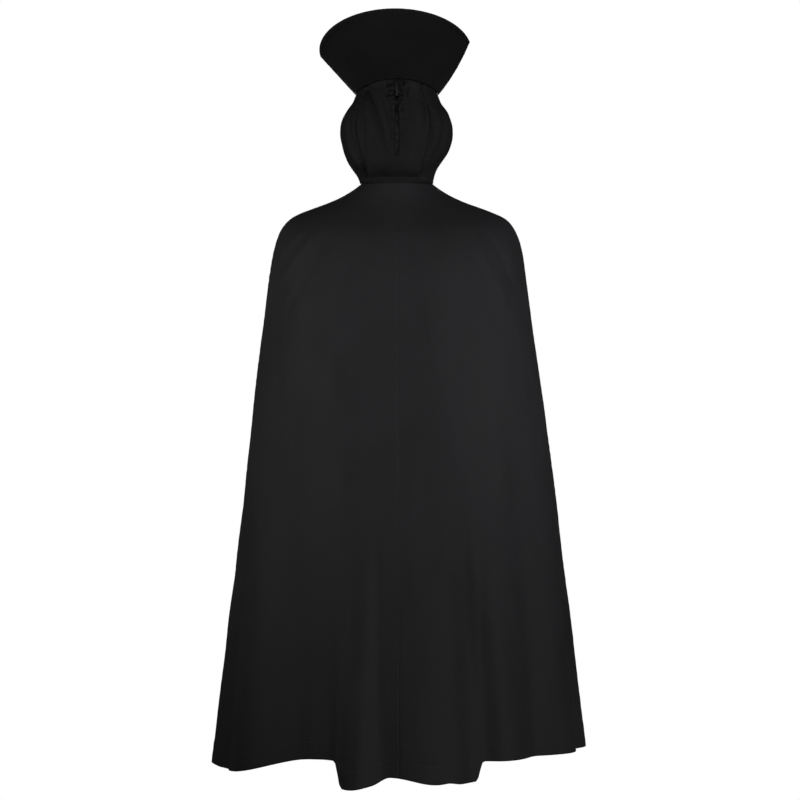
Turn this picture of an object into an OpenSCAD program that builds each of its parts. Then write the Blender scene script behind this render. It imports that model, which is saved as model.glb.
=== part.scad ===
// Long hooded cape with a tall flared fan collar, sewn from thin cloth panels.
// Frame: +Z up, +Y towards the wearer's front, +X towards the wearer's right. Millimetres.
// The origin is the centre of the neckband, level with the neck seam.
// On every sheet u turns from the back towards the wearer's right, and v runs downwards.

/* [Cape body] */
// Length from the neck seam down to the hem at the centre back
cape_drop = 1125; // [900:5:1300]
// Half of the width where the shoulder line and the side line would meet
shoulder_half_width = 240; // [215:1:260]
// Depth of the back below the neck, from the neck's centre
shoulder_back_depth = 150; // [135:1:170]
// Depth of the chest below the neck, from the neck's centre
shoulder_front_depth = 135; // [125:1:155]
// Half of the width of the hem between its folds
hem_half_width = 352; // [320:2:380]
// Depth of the hem behind the neck's centre
hem_back_depth = 285; // [260:5:320]
// Depth of the hem in front of the neck's centre
hem_front_depth = 235; // [220:5:260]
// Thickness of the cape's cloth
cloth = 0.8; // [0.6:0.1:1]

/* [Neck] */
// Inner radius of the neckband
neck_r = 68; // [62:0.5:74]
// Height of the neckband
neckband_h = 30; // [24:1:34]
// Thickness of the neckband
neckband_t = 1.2; // [1:0.1:1.5]

/* [Cowl] */
// Half of the cowl's width where it is fullest, at the cheeks
cowl_half_width = 106; // [96:1:112]
// Half of the cowl's width at the seam under the fan
cowl_top_half_width = 79; // [76:1:82]
// Depth of the cowl behind the head's centre, along the zip
cowl_back_depth = 95; // [93:1:98]
// Height of the fan's seam above the neck seam, at the ears
seam_z = 173; // [165:1:180]
// Height of the top of the crown above the neck seam
crown_top = 250; // [245:1:256]

/* [Fan collar] */
// Half of the fan's width at its rim
fan_half_width = 147; // [135:1:165]
// How far the rim stands behind the neck's centre
fan_back_depth = 187; // [170:1:205]
// Height of the rim above the neck seam, at the ears
fan_side_z = 256; // [245:1:275]
// Height of the rim above the neck seam, at the centre back
fan_back_z = 304; // [295:1:330]
// Angle of the rim's right-hand corner from the centre back
fan_right_corner = 76; // [70:1:96]
// Angle of the rim's left-hand corner from the centre back
fan_left_corner = 97; // [70:1:100]

/* [Zip] */
// Length that the slider can travel
zip_travel = 122; // [90:1:124]

/* [Hidden] */

round_fn = 64;
left = -1;
right = 1;
seam_gap = 0.5;      // between the edges of two panels that are sewn together
layer_gap = 0.2;     // between two layers of cloth
facing_gap = 0.4;    // between a panel and its facing
facing_t = 0.6;      // a facing's thickness

// ---- Shared geometry ----

function lerp(a, b, k) = a + (b - a) * k;
function smooth(x) = let (k = min(1, max(0, x))) k * k * (3 - 2 * k);
function unit(p) = p / norm(p);
function steps(from, to, n) = [for (i = [0 : n]) lerp(from, to, i / n)];
// A point on an oval whose back and front halves have their own depths; angle 0 is the centre back.
function oval(half_w, back, front, a) = [half_w * sin(a), -(cos(a) > 0 ? back : front) * cos(a)];
function mirrored(p, side) = [side * p.x, p.y, p.z];

// A surface's point at a depth below its outer face, measured square to it.
function below(face, u, v, depth) =
    let (
        e = 0.0005,
        du = face(u + e, v) - face(u - e, v),
        dv = face(u, v + e) - face(u, v - e)
    )
    face(u, v) + depth * unit(cross(du, dv));

// A closed sheet from depth top to depth bottom below a surface, over the grid of us and vs.
// keep(i, j) says which cells of the grid are cloth.
module sheet(face, us, vs, top, bottom, keep = function (i, j) true) {
    nu = len(us);
    nv = len(vs);
    points = [for (depth = [top, bottom], u = us, v = vs) below(face, u, v, depth)];
    function id(layer, i, j) = (layer * nu + i) * nv + j;
    function there(i, j) = i >= 0 && j >= 0 && i < nu - 1 && j < nv - 1 && keep(i, j);
    function quad(a, b, c, d) = [[a, b, c], [a, c, d]];
    function wall(i0, j0, i1, j1) =
        quad(id(0, i0, j0), id(1, i0, j0), id(1, i1, j1), id(0, i1, j1));
    cells = [for (i = [0 : nu - 2], j = [0 : nv - 2]) if (keep(i, j)) [i, j]];
    quads = [
        for (c = cells) let (i = c[0], j = c[1]) each [
            quad(id(0, i, j), id(0, i + 1, j), id(0, i + 1, j + 1), id(0, i, j + 1)),
            quad(id(1, i, j), id(1, i, j + 1), id(1, i + 1, j + 1), id(1, i + 1, j)),
            if (!there(i, j - 1)) wall(i, j, i + 1, j),
            if (!there(i, j + 1)) wall(i + 1, j + 1, i, j + 1),
            if (!there(i - 1, j)) wall(i, j + 1, i, j),
            if (!there(i + 1, j)) wall(i + 1, j, i + 1, j + 1)
        ]
    ];
    polyhedron(points, [for (q = quads) each q], convexity = 8);
}

// A solid through a row of closed outlines that all have the same number of points.
module sweep(outlines) {
    n = len(outlines[0]);
    last = len(outlines) - 1;
    sides = [
        for (k = [0 : last - 1], i = [0 : n - 1]) let (m = (i + 1) % n) each [
            [k * n + i, k * n + m, (k + 1) * n + m],
            [k * n + i, (k + 1) * n + m, (k + 1) * n + i]
        ]
    ];
    first_cap = [for (i = [n - 1 : -1 : 0]) i];
    last_cap = [for (i = [0 : n - 1]) last * n + i];
    polyhedron([for (o = outlines) each o], concat(sides, [first_cap, last_cap]), convexity = 8);
}

// A round outline of radius r about a point, in the plane of two directions.
function ring_outline(at, across, up, r, sides) =
    [for (i = [0 : sides - 1]) at + r * (cos(360 * i / sides) * across + sin(360 * i / sides) * up)];

// ---- Cape body ----

neck_seam_r = neck_r + neckband_t + 1.2;
neck_edge_z = -3;
neck_open = 174;       // angles at which the front edges stand, at the neck,
chest_open = 176;      // at the chest
hem_open = 166;        // and at the hem
shoulder_sway = 2;     // how far the cape hangs to the right, at the shoulders
hem_sway = 5;          // and at the hem
corner_side_z = -84;   // height at which the shoulder and side lines would meet
corner_back_z = -135;
corner_front_z = -150;
round_above = 42;      // length of the rounding above and below that corner
round_below = 75;
line_end = 0.1;        // v where the rounding starts,
round_end = 0.3;       // and where the straight fall begins

// The folds at the hem, each with its angle, its spread and how far it stands out.
folds = [
    [-14.6, 6, 20], [27, 12, 18], [-54, 10, 16], [64, 8, 10], [90, 9, 12], [-92, 9, 12],
    [120, 10, 16], [-122, 10, 16], [148, 8, 18], [-149, 8, 18]
];
function fold_out(a) =
    [for (f = folds) f[2] * exp(-pow((a - f[0]) / f[1], 2))] * [for (f = folds) 1];

// How far the hem rises above its lowest line: the middle of the back hangs lowest.
centre_from = -18.5;
centre_to = 24.5;
function hem_rise(a) =
    let (
        raised = 8 * (smooth((a + 8) / 5) - smooth((a - 14) / 5)),
        middle = raised - 1 - 6 * cos(14 * (a + 14.6)),
        left_side = 42 - 46 * smooth((-a - 24) / 50) - 5 * exp(-pow((a + 50) / 11, 2)),
        right_side = 39 - 14 * smooth((a - 30) / 90),
        to_left = smooth((centre_from + 1.5 - a) / 3),
        to_right = smooth((a - centre_to + 1.5) / 3)
    )
    lerp(lerp(middle, left_side, to_left), right_side, to_right);

function corner_point(u) =
    let (
        a = u * chest_open,
        fall = cos(a) > 0 ? corner_back_z - corner_side_z : corner_front_z - corner_side_z,
        p = oval(shoulder_half_width, shoulder_back_depth, shoulder_front_depth, a)
    )
    [p.x + shoulder_sway, p.y, corner_side_z + fall * pow(cos(a), 2)];
function hem_point(u) =
    let (
        a = u * hem_open,
        p = oval(hem_half_width, hem_back_depth, hem_front_depth, a),
        out = fold_out(a)
    )
    [p.x + hem_sway + out * sin(a), p.y - out * cos(a), -cape_drop + hem_rise(a)];

// The cape's outer face: a line off the neck, a rounded shoulder and a straight fall. u is from -1 to 1.
cape = function (u, v)
    let (
        n = concat(oval(neck_seam_r, neck_seam_r, neck_seam_r, u * neck_open), neck_edge_z),
        c = corner_point(u),
        h = hem_point(u),
        a = c + round_above * unit(n - c),
        b = c + round_below * unit(h - c),
        k = (v - line_end) / (round_end - line_end)
    )
    v < line_end ? lerp(n, a, v / line_end)
    : v > round_end ? lerp(b, h, (v - round_end) / (1 - round_end))
    : lerp(lerp(a, c, k), lerp(c, b, k), k);

side_seam = 0.52;      // u of the seam over the shoulder and down the side
hinge_u = 0.755;       // u of the line about which a front edge swings out
hinge_gap_u = 0.004;
drop_top = 0.345;      // v of the top of the part that swings
drop_gap = 0.004;
edge_u = 0.002;        // half of the centre back seam's gap
neck_rows = [0, 0.05, line_end, 0.15, 0.2, 0.25, round_end];
hem_facing_v = 0.972;
fall_rows = [0.475, 0.65, 0.825, hem_facing_v, 1];
facing_edge = 0.93;    // u where the front facing ends
back_columns = steps(edge_u, side_seam - edge_u, 20);
side_columns = steps(side_seam + edge_u, hinge_u - hinge_gap_u, 7);
drop_columns = steps(hinge_u + hinge_gap_u, facing_edge, 6);
edge_columns = [0.965, 1];

module cape_side(side, us, vs, top = 0, bottom = cloth, keep = function (i, j) true) {
    ordered = side > 0 ? us : [for (i = [len(us) - 1 : -1 : 0]) -us[i]];
    last = len(us) - 2;
    sheet(cape, ordered, vs, top, bottom, side > 0 ? keep : function (i, j) keep(last - i, j));
}

module back_panel(side)
    cape_side(side, back_columns, concat(neck_rows, fall_rows));

// The front panel's fixed part: the whole chest, and below it only the side.
module front_panel(side) {
    us = concat(side_columns, drop_columns, edge_columns);
    vs = concat(neck_rows, [drop_top - drop_gap], fall_rows);
    fixed_cells = len(side_columns) - 1;
    cape_side(side, us, vs, keep = function (i, j) j < len(neck_rows) || i < fixed_cells);
}

module front_drop(side)
    cape_side(side, concat(drop_columns, edge_columns), concat([drop_top], fall_rows));

// Facings share the columns and rows of the panels they line, so that no facet cuts through another.
module facing(side, us, vs)
    cape_side(side, us, vs, cloth + facing_gap, cloth + facing_gap + facing_t);

hem_facing_rows = [hem_facing_v, 1];
front_facing_columns = concat([facing_edge], edge_columns);
module hem_facing(side) facing(side, concat(back_columns, side_columns), hem_facing_rows);
module chest_facing(side)
    facing(side, front_facing_columns, concat([0.01], [for (k = [1 : len(neck_rows) - 1]) neck_rows[k]]));
module front_facing(side) facing(side, front_facing_columns, concat([drop_top], fall_rows));
module front_hem_facing(side)
    facing(side, [for (u = drop_columns) min(u, facing_edge - edge_u)], hem_facing_rows);

// ---- Neckband and its closing tab ----

neckband_top = neckband_h / 2;
band_open = 175;       // the band's two ends stand at this angle from the centre back
stud_angle = 196;      // where the press stud sits, past the centre front on the left
stud_r = 6;
stud_t = 0.7;
post_r = 1.8;
socket_hole_r = 2.5;
rivet_r = 1;
tab_t = 1;
tab_from = 164;        // the tab's hinge line, on the right
tab_to = 204;
tab_h = 16;
tab_z = 6;
tab_base_angle = 7.5;  // how far the tab's stitched base reaches round the neck
tab_base_gap = 1.5;    // and its angle from the hinge line
socket_gap = 0.3;
socket_t = 1.6;
tab_r = neck_r + neckband_t + stud_t + socket_gap + socket_t;

// A curved strip about the neck's axis, from one angle to another, centred on a height.
module band(r, t, from, to, h, z = 0)
    rotate([0, 0, from - 90]) rotate_extrude(angle = to - from, $fn = 2 * round_fn)
        translate([r, z - h / 2]) square([t, h]);

// Carries a shape from the Z axis to an angle on the neckband, at the tab's height.
module on_band(angle) translate([0, 0, tab_z]) rotate([0, 0, angle - 90]) rotate([0, 90, 0]) children();

module neckband() {
    face_r = neck_r + neckband_t;
    base_to = tab_from - tab_base_gap;
    band(neck_r, neckband_t, -band_open, band_open, neckband_h);
    // the stitched base of the tab
    band(face_r, tab_r + tab_t - face_r, base_to - tab_base_angle, base_to, tab_h, tab_z);
}

module press_stud() on_band(stud_angle) translate([0, 0, neck_r + neckband_t + 0.1]) {
    cylinder(r = stud_r, h = stud_t - 0.1, $fn = round_fn);
    cylinder(r = post_r, h = stud_t + socket_gap + 1, $fn = round_fn);
}

module press_socket() on_band(stud_angle) difference() {
    socket_z = tab_r - socket_t - 0.1;
    translate([0, 0, socket_z]) cylinder(r = stud_r, h = socket_t - 0.3, $fn = round_fn);
    translate([0, 0, socket_z - 1]) cylinder(r = socket_hole_r, h = 2.2, $fn = round_fn);
}

// The tab, with the seat of the socket's own rivet.
module neck_tab() difference() {
    band(tab_r, tab_t, tab_from, tab_to, tab_h, tab_z);
    on_band(stud_angle) translate([0, 0, tab_r - 3]) cylinder(r = rivet_r, h = 6, $fn = round_fn);
}

// ---- Cowl ----

cowl_foot_z = 2;
cowl_foot_r = neck_r + neckband_t + 2.1;
nape_h = 34;           // height over which the cowl swells out from the neck
seam_rise = 16;        // how much higher the fan's seam is at the back than at the ears
left_seam_angle = 50;  // angles of the seams between the back and side panels
right_seam_angle = 38;
function seam_angle(side) = side > 0 ? right_seam_angle : left_seam_angle;
full_at = 0.57;        // share of the height at which the cowl is fullest
zip_plane_y = -cowl_back_depth;
zip_half_slot = 5;
zip_bottom_z = 46;

function seam_height(a) = seam_z + seam_rise * pow(cos(a), 2);
function cowl_width(z) =
    let (k = min(1, max(0, (z - cowl_foot_z) / (seam_z - cowl_foot_z))), swell = ln(0.5) / ln(full_at))
    lerp(cowl_foot_r, cowl_top_half_width, k)
    + (cowl_half_width - lerp(cowl_foot_r, cowl_top_half_width, full_at)) * sin(180 * pow(k, swell));
function cowl_depth(z) = lerp(cowl_foot_r, cowl_back_depth, smooth((z - cowl_foot_z) / nape_h));
function cowl_at(a, z) =
    let (p = oval(cowl_width(z), cowl_depth(z), cowl_depth(z), a)) [p.x, p.y, z];
function cowl_z(a, v) = lerp(seam_height(a) - 0.6, cowl_foot_z, v);

// Half of the opening between the two back panels: the zip's slot, closed below the zip.
function slot_edge(z) = lerp(seam_gap / 2, zip_half_slot, smooth((z - zip_bottom_z + 12) / 10));

// A back panel from the zip's slot, u 0, to the side seam, u 1, drawn on the right-hand side.
function cowl_back(side) = function (u, v)
    let (z = cowl_z(0, v), a = lerp(asin(slot_edge(z) / cowl_width(z)), seam_angle(side) - 0.2, u))
    cowl_at(a, cowl_z(a, v));

// A side panel from that seam, u 0, to the face opening, u 1, drawn on the right-hand side.
face_top_angle = 122;  // where the face opening's edge stands, at the brow,
face_foot_angle = 148; // and at the throat
function face_angle(v) = lerp(face_top_angle, face_foot_angle, pow(v, 2));
function cowl_side(side) = function (u, v)
    let (a = lerp(seam_angle(side) + 0.2, face_angle(v), u)) cowl_at(a, cowl_z(a, v));
cowl_side_face = cowl_side(right);

cowl_rows = concat(steps(0, 0.7, 6), steps(0.76, 1, 4));

module one_side(side) mirror([side > 0 ? 0 : 1, 0, 0]) children();
module cowl_back_panel(side) one_side(side) sheet(cowl_back(side), steps(0, 1, 7), cowl_rows, 0, cloth);
module cowl_side_panel(side) one_side(side) sheet(cowl_side(side), steps(0, 1, 12), cowl_rows, 0, cloth);

// The crown: a dome over a round map of the unit square, so that it has no pole.
crown_half_width = cowl_top_half_width - 4.5;
crown_depth = cowl_back_depth - 3.5;
crown_edge_lift = 0.3; // how far the crown's edge stands above the fan's seam line
function crown_point(x, y, inset) =
    let (
        cx = x * sqrt(1 - y * y / 2),
        cy = y * sqrt(1 - x * x / 2),
        k = sqrt(max(0, 1 - cx * cx - cy * cy)),
        foot = seam_z + seam_rise * cy * cy
    )
    [(crown_half_width - inset) * cx, (crown_depth - inset) * cy,
     foot + (crown_top - inset - foot) * k + (k == 0 ? crown_edge_lift : 0)];

module crown() {
    n = 16;
    grid = [for (i = [0 : n]) sin(180 * i / n - 90)];
    points = [for (inset = [0, cloth], x = grid, y = grid) crown_point(x, -y, inset)];
    function id(layer, i, j) = (layer * (n + 1) + i) * (n + 1) + j;
    function quad(a, b, c, d) = [[a, b, c], [a, c, d]];
    quads = [
        for (i = [0 : n - 1], j = [0 : n - 1]) each [
            quad(id(0, i, j), id(0, i + 1, j), id(0, i + 1, j + 1), id(0, i, j + 1)),
            quad(id(1, i, j), id(1, i, j + 1), id(1, i + 1, j + 1), id(1, i + 1, j))
        ],
        for (i = [0 : n - 1]) each [
            quad(id(0, i, 0), id(1, i, 0), id(1, i + 1, 0), id(0, i + 1, 0)),
            quad(id(0, i + 1, n), id(1, i + 1, n), id(1, i, n), id(0, i, n)),
            quad(id(0, 0, i + 1), id(1, 0, i + 1), id(1, 0, i), id(0, 0, i)),
            quad(id(0, n, i), id(1, n, i), id(1, n, i + 1), id(0, n, i + 1))
        ]
    ];
    polyhedron(points, [for (q = quads) each q], convexity = 6);
}

// The band that fits round the head, just inside the crown's edge. It opens at the centre back.
band_height = 22;
head_band_t = 1;
head_band_inset = 3.6; // from the crown's edge
head_band_end = 0.985; // the band's two ends stand at this share of a half turn from the forehead
head_band_face = function (u, v)
    let (
        a = 180 + 180 * u,
        rise = asin(v < 1 ? (1 - v) * band_height / (crown_top - seam_height(a)) : 0),
        depth = crown_depth - head_band_inset,
        p = oval(crown_half_width - head_band_inset, depth, depth, a)
    )
    [p.x * cos(rise), p.y * cos(rise), seam_height(a) + 0.5 + (1 - v) * band_height];
module head_band()
    sheet(head_band_face, steps(-head_band_end, head_band_end, 44), steps(0, 0.99, 2), 0, head_band_t);

// The round piping along the face opening, from the throat over the forehead to the other side.
piping_r = 2.2;
piping_out = piping_r + 0.5;
piping_top = 0.05;     // v of the piping's bend at the brow,
piping_end = 0.9;      // and of its two ends at the throat
brow_from = 128;       // the brow's piping runs between these angles
brow_to = 232;
function face_edge(v, side) =
    let (
        edge = cowl_side_face(1, v),
        along = unit(edge - cowl_side_face(0.98, v))
    )
    mirrored(edge + piping_out * along + cloth / 2 * [0, -0.5, 0], side);
function brow_edge(a) =
    let (p = oval(crown_half_width - 0.4, crown_depth - 0.4, crown_depth - 0.4, a))
    [p.x, p.y, seam_height(a) - piping_out];
piping_path = concat(
    [for (v = steps(piping_end, piping_top, 9)) face_edge(v, right)],
    [for (a = steps(brow_from, brow_to, 14)) brow_edge(a)],
    [for (v = steps(piping_top, piping_end, 9)) face_edge(v, left)]
);
function path_direction(path, k) = unit(path[min(k + 1, len(path) - 1)] - path[max(k - 1, 0)]);
function tube_outlines(path, r, sides, side_hint) = [
    for (k = [0 : len(path) - 1])
        let (d = path_direction(path, k), across = unit(cross(d, side_hint)), up = cross(across, d))
        ring_outline(path[k], across, up, r, sides)
];
module face_piping() sweep(tube_outlines(piping_path, piping_r, 8, [0.05, 1, 0.1]));

// ---- Fan collar ----

fan_foot_half_width = cowl_top_half_width + 1.5;
fan_foot_depth = cowl_back_depth + 2;
fan_shift = -3;        // how far the rim leans to the left
fan_foot_end = 97;     // angle at which both of the fan's ends meet the cowl
shell_t = 0.7;
interlining_t = 1.2;
stay_t = 1;
stay_gap = 0.5;
stay_depth = shell_t + layer_gap + interlining_t + stay_gap;
fan_t = stay_depth + stay_t + stay_gap + shell_t;

function fan_point(a, v) =
    let (
        foot = oval(fan_foot_half_width, fan_foot_depth, fan_foot_depth, a),
        rim = oval(fan_half_width, fan_back_depth, fan_back_depth, a),
        rim_z = fan_side_z + (fan_back_z - fan_side_z) * cos(a)
    )
    lerp([rim.x + fan_shift, rim.y, rim_z], [foot.x, foot.y, seam_height(a)], v);
// The angle at which the fan ends on one side.
function fan_end(side, v) = side * lerp(side > 0 ? fan_right_corner : fan_left_corner, fan_foot_end, v);
function fan_u(a, v) = (a - fan_end(left, v)) / (fan_end(right, v) - fan_end(left, v));
// u is from 0 at the left-hand end to 1 at the right-hand end, v from 0 at the rim to 1 at the foot.
fan = function (u, v)
    fan_point(lerp(fan_end(left, v), fan_end(right, v), u), v);

fan_columns = 32;
interlining_inset = 0.006; // keeps the interlining clear of the binding
module fan_layer(depth, t, inset = 0)
    sheet(fan, steps(inset, 1 - inset, fan_columns), steps(inset * 2, 1, 4), depth, depth + t);
module fan_shell() fan_layer(0, shell_t);
module fan_interlining() fan_layer(shell_t + layer_gap, interlining_t, interlining_inset);
module fan_facing() fan_layer(fan_t - shell_t, shell_t);

stay_count = 7;
stay_half_width = 3;
stay_margin = 8;       // angle between the fan's corners and the outermost stays
stay_head = 0.12;      // v of a stay's two ends
stay_foot = 0.93;
module fan_stays() for (i = [0 : stay_count - 1]) {
    a = lerp(stay_margin - fan_left_corner, fan_right_corner - stay_margin, i / (stay_count - 1));
    foot = below(fan, fan_u(a, stay_foot), stay_foot, stay_depth);
    head = below(fan, fan_u(a, stay_head), stay_head, stay_depth);
    across = unit(fan_point(a + 1, 0.5) - fan_point(a - 1, 0.5));
    inward = unit(cross(across, foot - head));
    bar = function (at) [
        at - stay_half_width * across, at + stay_half_width * across,
        at + stay_half_width * across + stay_t * inward, at - stay_half_width * across + stay_t * inward
    ];
    sweep([bar(head), bar(foot)]);
}

wire_r = 0.5;
wire_v = 0.05;         // how far below the rim the wire lies
wire_end = 0.02;       // u of its left-hand end
module fan_wire() {
    us = steps(wire_end, 1 - wire_end, fan_columns);
    path = [for (u = us) below(fan, u, wire_v, stay_depth + wire_r)];
    sweep(tube_outlines(path, wire_r, 8, [0, 0, 1]));
}

// The binding folds over the fan's free edges as a U: up one end, along the rim, down the other.
binding_t = 0.7;
binding_width = 8;
binding_gap = 0.5;
binding_beyond = 1.2;
function binding_outline(u, v, outwards) =
    let (
        outer = -binding_gap,
        inner = fan_t + binding_gap,
        p = fan(u, v),
        inward = below(fan, u, v, 1) - p
    )
    [for (k = [
        [outer - binding_t, -binding_width], [outer - binding_t, binding_beyond],
        [inner + binding_t, binding_beyond], [inner + binding_t, -binding_width],
        [inner, -binding_width], [inner, binding_beyond - binding_t],
        [outer, binding_beyond - binding_t], [outer, -binding_width]
    ]) p + k[0] * inward + k[1] * outwards];
function mitre(a, b) = (a + b) / (1 + a * b);
function rim_outwards(u) = unit(fan(u, 0) - fan(u, 0.01));
function end_outwards(u, v) =
    let (
        inner = u < 0.5 ? 0.01 : -0.01,
        down = unit(fan(u, v + 0.01) - fan(u, v)),
        across = unit(fan(u, v) - fan(u + inner, v))
    )
    unit(across - (across * down) * down);
module fan_binding() sweep(concat(
    [for (v = steps(0.985, 0.1, 4)) binding_outline(0, v, end_outwards(0, v))],
    [binding_outline(0, 0, mitre(end_outwards(0, 0), rim_outwards(0)))],
    [for (u = steps(0.04, 0.96, 30)) binding_outline(u, 0, rim_outwards(u))],
    [binding_outline(1, 0, mitre(end_outwards(1, 0), rim_outwards(1)))],
    [for (v = steps(0.1, 0.985, 4)) binding_outline(1, v, end_outwards(1, v))]
));

// ---- Zip down the back of the cowl ----

zip_top_z = seam_z + seam_rise - 4;
tape_y = zip_plane_y + 2.6;   // outer face of the tape
tape_t = 0.5;
tape_inner_x = 2.4;
tape_outer_x = 13;
tooth_pitch = 2.4;
tooth_h = 1.5;
tooth_inner_x = 0.9;
tooth_t = 2;
tooth_y = tape_y + tape_t / 2 - tooth_t / 2;
slider_z = zip_top_z - 8;     // the slider's middle, with the zip closed
slider_h = 10;
slider_half_width = 4;
plate_t = 0.9;
plate_gap = 0.5;
rail_t = 0.8;                 // the slider's rails, which close over the tapes' edges
rail_gap = 0.4;
divider_half_width = 0.5;
divider_h = 3;
eye_inner_x = 2.3;            // the two eyes that hold the pull's pin
eye_t = 1;
eye_half_h = 1.5;
eye_y = zip_plane_y - 2.4;    // the pull's pin
pin_r = 0.7;

module box(low, high) translate(low) cube(high - low);

module zip_tape(side) one_side(side)
    box([tape_inner_x + 0.3, tape_y, zip_bottom_z - 8], [tape_outer_x, tape_y + tape_t, zip_top_z]);

module zip_teeth(side) one_side(side) {
    count = floor((zip_top_z - zip_bottom_z) / tooth_pitch);
    for (i = [0 : count - 1]) translate([0, 0, zip_bottom_z + (i + (side > 0 ? 0 : 0.5)) * tooth_pitch])
        box([tooth_inner_x, tooth_y, 0], [tape_inner_x + 0.2, tooth_y + tooth_t, tooth_h]);
}

module zip_end_stop() box(
    [-tape_inner_x, tooth_y, zip_bottom_z - 4], [tape_inner_x, tooth_y + tooth_t, zip_bottom_z - 1]
);

module zip_slider() {
    top_y = tooth_y - plate_gap;
    under_y = tooth_y + tooth_t + plate_gap;
    low_z = slider_z - slider_h / 2;
    high_z = slider_z + slider_h / 2;
    box([-slider_half_width, top_y - plate_t, low_z], [slider_half_width, top_y, high_z]);
    box([-slider_half_width, under_y, low_z], [slider_half_width, under_y + plate_t, high_z]);
    rail_x = slider_half_width - rail_t;
    pin_half = eye_inner_x + 0.1;
    box([-divider_half_width, top_y, high_z - divider_h], [divider_half_width, under_y, high_z]);
    for (side = [left, right]) one_side(side) {
        box([rail_x, top_y, low_z], [slider_half_width, tape_y - rail_gap, high_z]);
        box([rail_x, tape_y + tape_t + rail_gap, low_z], [slider_half_width, under_y, high_z]);
        box([eye_inner_x, eye_y - 1, slider_z - eye_half_h],
            [eye_inner_x + eye_t, top_y - plate_t, slider_z + eye_half_h]);
    }
    translate([-pin_half, eye_y, slider_z]) rotate([0, 90, 0])
        cylinder(r = pin_r, h = 2 * pin_half, $fn = round_fn);
}

pull_length = 20;
module zip_pull() translate([0, eye_y, slider_z]) difference() {
    union() {
        translate([-1.9, 0, 0]) rotate([0, 90, 0]) cylinder(r = 1.7, h = 3.8, $fn = round_fn);
        translate([0, 0.6, 0]) rotate([90, 0, 0]) linear_extrude(1.2)
            polygon([[-1.9, -1], [1.9, -1], [1.9, -6], [3.2, -pull_length + 3], [2.2, -pull_length],
                     [-2.2, -pull_length], [-3.2, -pull_length + 3], [-1.9, -6]]);
    }
    translate([-3, 0, 0]) rotate([0, 90, 0]) cylinder(r = pin_r + 0.3, h = 6, $fn = round_fn);
}

// ---- Nodes ----

black_cloth = [0.03, 0.03, 0.035];
black_lining = [0.05, 0.05, 0.055];
stiffener = [0.09, 0.09, 0.095];
black_tape = [0.06, 0.06, 0.06];
stay_plastic = [0.75, 0.75, 0.72];
spring_steel = [0.45, 0.45, 0.46];
dark_metal = [0.2, 0.2, 0.22];

color(black_cloth) back_panel(left);  // back_panel_left
color(black_cloth) back_panel(right);  // back_panel_right
color(black_cloth) front_panel(left);  // front_panel_left
color(black_cloth) front_panel(right);  // front_panel_right
color(black_lining) hem_facing(left);  // hem_facing_left
color(black_lining) hem_facing(right);  // hem_facing_right
color(black_lining) chest_facing(left);  // chest_facing_left
color(black_lining) chest_facing(right);  // chest_facing_right
color(black_cloth) neckband();
color(dark_metal) press_stud();
color(black_cloth) front_drop(left);  // front_drop_left
color(black_lining) front_facing(left);  // front_facing_left
color(black_lining) front_hem_facing(left);  // front_hem_facing_left
color(black_cloth) front_drop(right);  // front_drop_right
color(black_lining) front_facing(right);  // front_facing_right
color(black_lining) front_hem_facing(right);  // front_hem_facing_right
color(black_cloth) neck_tab();
color(dark_metal) press_socket();
color(black_cloth) cowl_back_panel(left);  // cowl_back_left
color(black_cloth) cowl_back_panel(right);  // cowl_back_right
color(black_cloth) cowl_side_panel(left);  // cowl_side_left
color(black_cloth) cowl_side_panel(right);  // cowl_side_right
color(black_cloth) crown();  // cowl_crown
color(black_tape) head_band();
color(black_cloth) face_piping();
color(black_cloth) fan_shell();
color(stiffener) fan_interlining();
color(black_lining) fan_facing();
color(stay_plastic) fan_stays();
color(spring_steel) fan_wire();
color(black_cloth) fan_binding();
color(black_tape) zip_tape(left);  // zip_tape_left
color(black_tape) zip_tape(right);  // zip_tape_right
color(dark_metal) zip_teeth(left);  // zip_teeth_left
color(dark_metal) zip_teeth(right);  // zip_teeth_right
color(dark_metal) zip_end_stop();
color(dark_metal) zip_slider();
color(dark_metal) zip_pull();
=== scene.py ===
"""Looks for the hooded cape with a fan collar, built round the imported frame.

Sizes are in millimetres until a mesh is made. On every sheet u turns from the back towards the
wearer's right and v runs downwards, as in the CAD source, whose shapes these sheets follow.
"""
import math

import bpy
import numpy as np
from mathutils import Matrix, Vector


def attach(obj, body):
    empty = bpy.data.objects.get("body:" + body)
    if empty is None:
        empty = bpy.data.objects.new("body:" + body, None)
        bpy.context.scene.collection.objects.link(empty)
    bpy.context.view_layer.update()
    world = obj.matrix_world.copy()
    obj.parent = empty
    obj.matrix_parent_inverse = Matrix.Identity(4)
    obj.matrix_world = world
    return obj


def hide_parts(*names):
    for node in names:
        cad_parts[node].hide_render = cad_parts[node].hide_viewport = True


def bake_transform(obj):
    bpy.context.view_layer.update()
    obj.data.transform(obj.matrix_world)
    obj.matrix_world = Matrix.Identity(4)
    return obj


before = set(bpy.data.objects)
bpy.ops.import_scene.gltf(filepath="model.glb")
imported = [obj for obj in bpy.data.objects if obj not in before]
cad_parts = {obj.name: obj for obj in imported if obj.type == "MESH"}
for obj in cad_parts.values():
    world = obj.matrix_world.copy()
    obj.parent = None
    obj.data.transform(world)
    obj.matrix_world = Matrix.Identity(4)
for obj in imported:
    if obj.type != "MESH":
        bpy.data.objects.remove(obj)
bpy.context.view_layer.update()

MM = 0.001
LEFT, RIGHT = -1, 1
SIDES = {"left": LEFT, "right": RIGHT}
random = np.random.default_rng(20)


# ---------------------------------------------------------------- maths


def sind(a):
    return np.sin(np.radians(a))


def cosd(a):
    return np.cos(np.radians(a))


def lerp(a, b, k):
    """The value k of the way from a to b."""
    return a + (b - a) * k


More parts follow.
